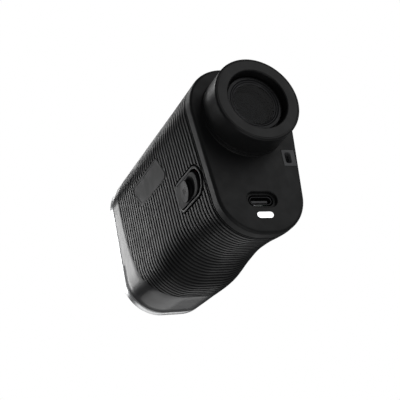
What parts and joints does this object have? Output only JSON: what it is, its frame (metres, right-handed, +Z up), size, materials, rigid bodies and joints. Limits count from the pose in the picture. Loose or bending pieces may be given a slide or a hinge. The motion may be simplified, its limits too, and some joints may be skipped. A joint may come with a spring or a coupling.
{
  "type": "laser rangefinder",
  "caption": "Handheld laser rangefinder with a ribbed housing, turning eyecup, side slide switch, top buttons, USB socket, lamp and lanyard lug.",
  "frame": {"origin": "centre of the base of the object's box, under the middle of its length", "axes": "+Y is the aim direction, from the eyepiece to the front lenses; +Z is up, towards the buttons; +X is the user's right"},
  "size_m": [0.0418, 0.1098, 0.0696],
  "materials": {
    "cap_plastic": "fine matte moulded",
    "rib_plastic": "satin moulded ribs",
    "shell_plastic": "satin gloss",
    "bezel_metal": "polished ring",
    "plate_plastic": "matte",
    "gasket_rubber": "matte",
    "steel": "brushed",
    "eyecup_plastic": "soft matte",
    "black_metal": "black anodised",
    "lens_glass": "coated glass",
    "prism_glass": "polished glass",
    "lug_plastic": "satin",
    "board": "solder mask",
    "chip": "moulded",
    "lamp": "lit diffuser",
    "battery": "sleeved cell",
    "marker_red": "matte",
    "key_plastic": "soft touch",
    "silicone": "silicone",
    "brass": "machined"
  },
  "bodies": {
    "housing": {"battery_cell": "battery", "battery_cradle": "plate_plastic", "board_chips": "chip", "button_island": "shell_plastic", "chassis": "plate_plastic", "display_glass": "prism_glass", "eyepiece_collar": "eyecup_plastic", "eyepiece_tube": "black_metal", "feet_screws": "steel", "field_stop": "black_metal", "fire_dome": "silicone", "front_bezel": "bezel_metal", "front_gasket": "gasket_rubber", "front_plate": "plate_plastic", "front_shell": "shell_plastic", "grip_sleeve": "rib_plastic", "key_board": "board", "key_switches": "chip", "lamp_diode": "lamp", "lamp_window": "lamp", "lanyard_lug": "lug_plastic", "laser_barrel": "black_metal", "laser_cell": "black_metal", "laser_diode": "brass", "laser_holder": "brass", "laser_lens": "lens_glass", "laser_retainer": "black_metal", "main_board": "board", "mode_dome": "silicone", "motor_clip": "plate_plastic", "objective_cell": "black_metal", "objective_lens": "lens_glass", "objective_retainer": "black_metal", "optics_barrel": "black_metal", "plate_screws": "steel", "prism_housing": "black_metal", "rear_cap": "cap_plastic", "rear_gasket": "gasket_rubber", "receiver_can": "steel", "receiver_sensor": "chip", "roof_prism": "prism_glass", "side_badge": "rib_plastic", "slide_marker": "marker_red", "slide_switch_case": "chip", "standoffs": "brass", "switch_escutcheon": "rib_plastic", "usb_board": "board", "usb_shell": "black_metal", "usb_tongue": "lug_plastic", "vibration_motor": "steel"},
    "eyecup": {"eyecup": "eyecup_plastic"},
    "ocular_unit": {"ocular_cell": "black_metal", "ocular_retainer": "black_metal", "eye_lens": "lens_glass", "field_lens": "lens_glass"},
    "slider": {"slider_plate": "key_plastic", "slider_knob": "key_plastic"},
    "fire_key": {"fire_button": "key_plastic"},
    "mode_key": {"mode_button": "key_plastic"},
    "motor_weight": {"vibration_weight": "steel"}
  },
  "joints": [
    {"name": "dioptre_turn", "type": "hinge", "parent": "housing", "child": "eyecup", "pos_m": [0, -0.0481, 0.0472], "axis": [0, -1, 0], "range_deg": [-100, 100]},
    {"name": "ocular_slide", "type": "slide", "parent": "housing", "child": "ocular_unit", "axis": [0, -1, 0], "range_m": [-0.0012, 0.0012]},
    {"name": "slope_switch", "type": "slide", "parent": "housing", "child": "slider", "axis": [0, -1, 0], "range_m": [0, 0.0019]},
    {"name": "fire_press", "type": "slide", "parent": "housing", "child": "fire_key", "axis": [0, 0, -1], "range_m": [0, 0.0009], "stiffness_N_per_m": 600, "springref_m": -0.0006, "deforming": ["fire_dome"]},
    {"name": "mode_press", "type": "slide", "parent": "housing", "child": "mode_key", "axis": [0, 0, -1], "range_m": [0, 0.0007], "stiffness_N_per_m": 600, "springref_m": -0.0006, "deforming": ["mode_dome"]},
    {"name": "motor_spin", "type": "hinge", "parent": "housing", "child": "motor_weight", "pos_m": [0.0124, -0.0141, 0.0232], "axis": [0, 1, 0], "continuous": true}
  ],
  "couplings": [
    {"joint": "ocular_slide", "follows": "dioptre_turn", "m_per_rad": 0.00068686}
  ]
}
